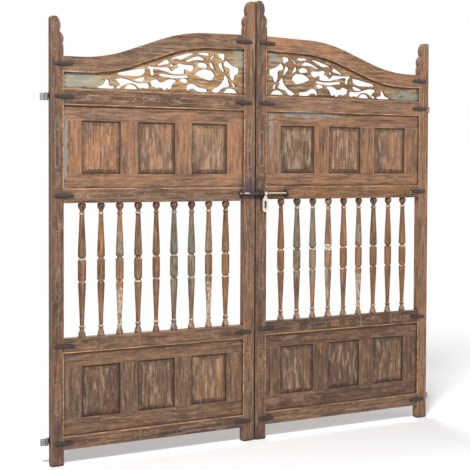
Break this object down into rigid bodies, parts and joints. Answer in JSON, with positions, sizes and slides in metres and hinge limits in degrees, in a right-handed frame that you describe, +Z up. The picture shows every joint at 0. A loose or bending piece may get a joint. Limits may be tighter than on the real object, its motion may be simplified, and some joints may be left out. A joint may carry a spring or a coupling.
{
  "type": "wooden gate",
  "caption": "Antique two-leaf wooden gate with arched tops, pierced fretwork, turned balusters, raised panels, iron straps and a sliding bolt.",
  "frame": {"origin": "on the ground under the gate, midway between the outer edges of the two closed leaves, in the middle of their thickness", "axes": "+Z up, +X across the gate to the right as seen from the front, -Y out of the decorated front"},
  "size_m": [2.144, 0.0735, 2.143],
  "materials": {
    "frame_wood": "weathered hardwood, old finish worn off, faint incised lines",
    "panel_wood": "weathered hardwood, planed boards with open grain",
    "fret_wood": "pale sawn hardwood with traces of paint",
    "turned_wood": "turned hardwood with traces of green and cream paint",
    "forged_iron": "black forge scale",
    "bolt_iron": "forged iron, bright where it slides",
    "handle_iron": "worn bright by hands",
    "hinge_iron": "dull grey iron"
  },
  "bodies": {
    "wall_plates": {"left_pintles": "hinge_iron", "right_pintles": "hinge_iron"},
    "left_leaf": {"left_outer_stile": "frame_wood", "left_meeting_stile": "frame_wood", "left_arched_rail": "frame_wood", "left_frieze_rail": "frame_wood", "left_lock_rail": "frame_wood", "left_sill_rail": "frame_wood", "left_bottom_rail": "frame_wood", "left_fretwork": "fret_wood", "left_baluster_1": "turned_wood", "left_baluster_2": "turned_wood", "left_baluster_3": "turned_wood", "left_baluster_4": "turned_wood", "left_baluster_5": "turned_wood", "left_baluster_6": "turned_wood", "left_baluster_7": "turned_wood", "left_baluster_8": "turned_wood", "left_baluster_9": "turned_wood", "left_upper_panel_frame": "panel_wood", "left_upper_panel_1": "panel_wood", "left_upper_panel_2": "panel_wood", "left_upper_panel_3": "panel_wood", "left_lower_panel_frame": "panel_wood", "left_lower_panel_1": "panel_wood", "left_lower_panel_2": "panel_wood", "left_lower_panel_3": "panel_wood", "left_joint_straps": "forged_iron", "left_hinge_straps": "hinge_iron", "bolt_keeper": "bolt_iron"},
    "right_leaf": {"right_outer_stile": "frame_wood", "right_meeting_stile": "frame_wood", "right_arched_rail": "frame_wood", "right_frieze_rail": "frame_wood", "right_lock_rail": "frame_wood", "right_sill_rail": "frame_wood", "right_bottom_rail": "frame_wood", "right_fretwork": "fret_wood", "right_baluster_1": "turned_wood", "right_baluster_2": "turned_wood", "right_baluster_3": "turned_wood", "right_baluster_4": "turned_wood", "right_baluster_5": "turned_wood", "right_baluster_6": "turned_wood", "right_baluster_7": "turned_wood", "right_baluster_8": "turned_wood", "right_baluster_9": "turned_wood", "right_upper_panel_frame": "panel_wood", "right_upper_panel_1": "panel_wood", "right_upper_panel_2": "panel_wood", "right_upper_panel_3": "panel_wood", "right_lower_panel_frame": "panel_wood", "right_lower_panel_1": "panel_wood", "right_lower_panel_2": "panel_wood", "right_lower_panel_3": "panel_wood", "right_joint_straps": "forged_iron", "right_hinge_straps": "hinge_iron", "bolt_guides": "bolt_iron"},
    "bolt": {"bolt_rod": "bolt_iron"},
    "handle": {"bolt_handle": "handle_iron"}
  },
  "joints": [
    {"name": "left_leaf_swing", "type": "hinge", "parent": "wall_plates", "child": "left_leaf", "pos_m": [-1.0425, 0.0215, 0], "axis": [0, 0, 1], "range_deg": [0, 110]},
    {"name": "right_leaf_swing", "type": "hinge", "parent": "wall_plates", "child": "right_leaf", "pos_m": [1.0425, 0.0215, 0], "axis": [0, 0, -1], "range_deg": [0, 110]},
    {"name": "bolt_slide", "type": "slide", "parent": "right_leaf", "child": "bolt", "axis": [1, 0, 0], "range_m": [0, 0.1]},
    {"name": "handle_swing", "type": "hinge", "parent": "bolt", "child": "handle", "pos_m": [0.038, -0.033, 1.207], "axis": [-1, 0, 0], "range_deg": [-6, 170]}
  ]
}
